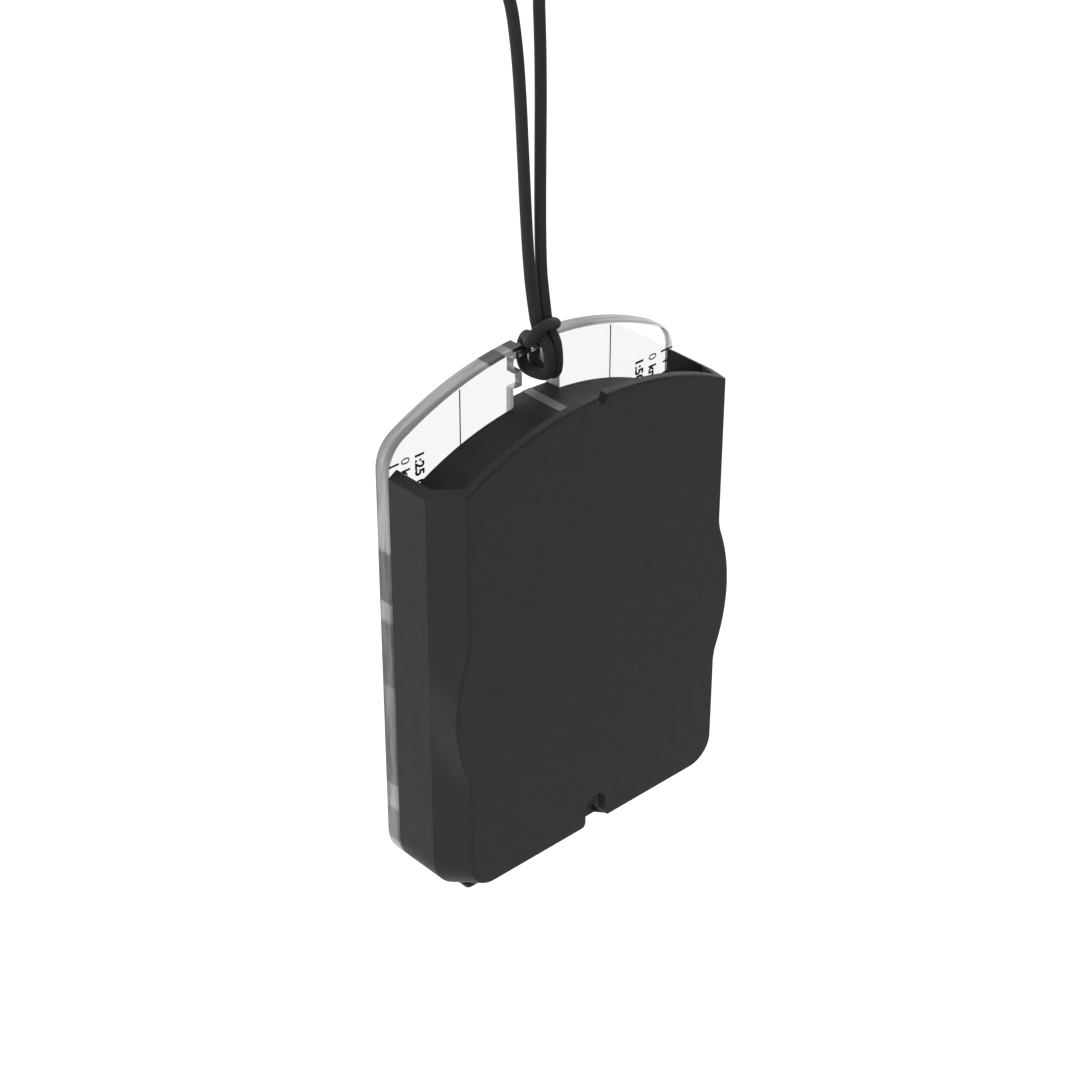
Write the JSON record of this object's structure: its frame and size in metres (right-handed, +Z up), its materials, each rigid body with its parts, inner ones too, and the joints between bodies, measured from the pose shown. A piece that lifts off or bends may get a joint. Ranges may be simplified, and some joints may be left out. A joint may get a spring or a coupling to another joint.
{
  "type": "baseplate compass",
  "caption": "Pocket baseplate compass with a clear plate, turning dial, magnetic needle and a black hinged sighting cover, hanging from its lanyard.",
  "frame": {"origin": "inner top of the lanyard's loop, the point that the compass hangs from", "axes": "+X along the plate's width, +Z up along its length towards the lanyard, -Y out of the cover's front"},
  "size_m": [0.059, 0.0186, 0.1623],
  "materials": {
    "clear_plate": "clear polished acrylic",
    "luminous": "pale luminous plastic",
    "steel": "drawn steel",
    "cover_black": "fine matt moulded plastic",
    "mirror_glass": "silvered glass",
    "bezel_black": "matt moulded plastic",
    "scale_white": "printed scale",
    "clear_capsule": "clear polished acrylic",
    "seal_rubber": "rubber",
    "card_white": "printed clear card",
    "jewel": "polished synthetic ruby",
    "brass": "turned brass",
    "needle_red": "red paint",
    "needle_white": "white paint",
    "magnet_steel": "dark magnet steel",
    "cord_black": "fine woven sheath"
  },
  "bodies": {
    "base": {"baseplate": "clear_plate", "index_mark": "luminous", "hinge_pin": "steel", "lanyard_hitch": "cord_black", "lanyard_cord": "cord_black"},
    "cover": {"cover_shell": "cover_black", "sight_strip": "luminous", "sighting_mirror": "mirror_glass"},
    "dial_housing": {"bezel_ring": "bezel_black", "degree_scale_ring": "scale_white", "retaining_ring": "bezel_black", "capsule_base": "clear_capsule", "capsule_lid": "clear_capsule", "capsule_seal": "seal_rubber", "filler_plug": "seal_rubber", "direction_card": "card_white", "pivot_pin": "steel"},
    "needle": {"jewel_bearing": "jewel", "needle_hub": "brass", "needle_north": "needle_red", "needle_south": "needle_white", "needle_magnet": "magnet_steel"}
  },
  "joints": [
    {"name": "cover_hinge", "type": "hinge", "parent": "base", "child": "cover", "pos_m": [0, -0.0034, -0.15864], "axis": [1, 0, 0], "range_deg": [0, 170]},
    {"name": "dial_turn", "type": "hinge", "parent": "base", "child": "dial_housing", "pos_m": [0, -0.0034, -0.12029], "axis": [0, -1, 0], "continuous": true},
    {"name": "needle_swing", "type": "hinge", "parent": "dial_housing", "child": "needle", "pos_m": [0, -0.0034, -0.12029], "axis": [0, -1, 0], "continuous": true}
  ]
}
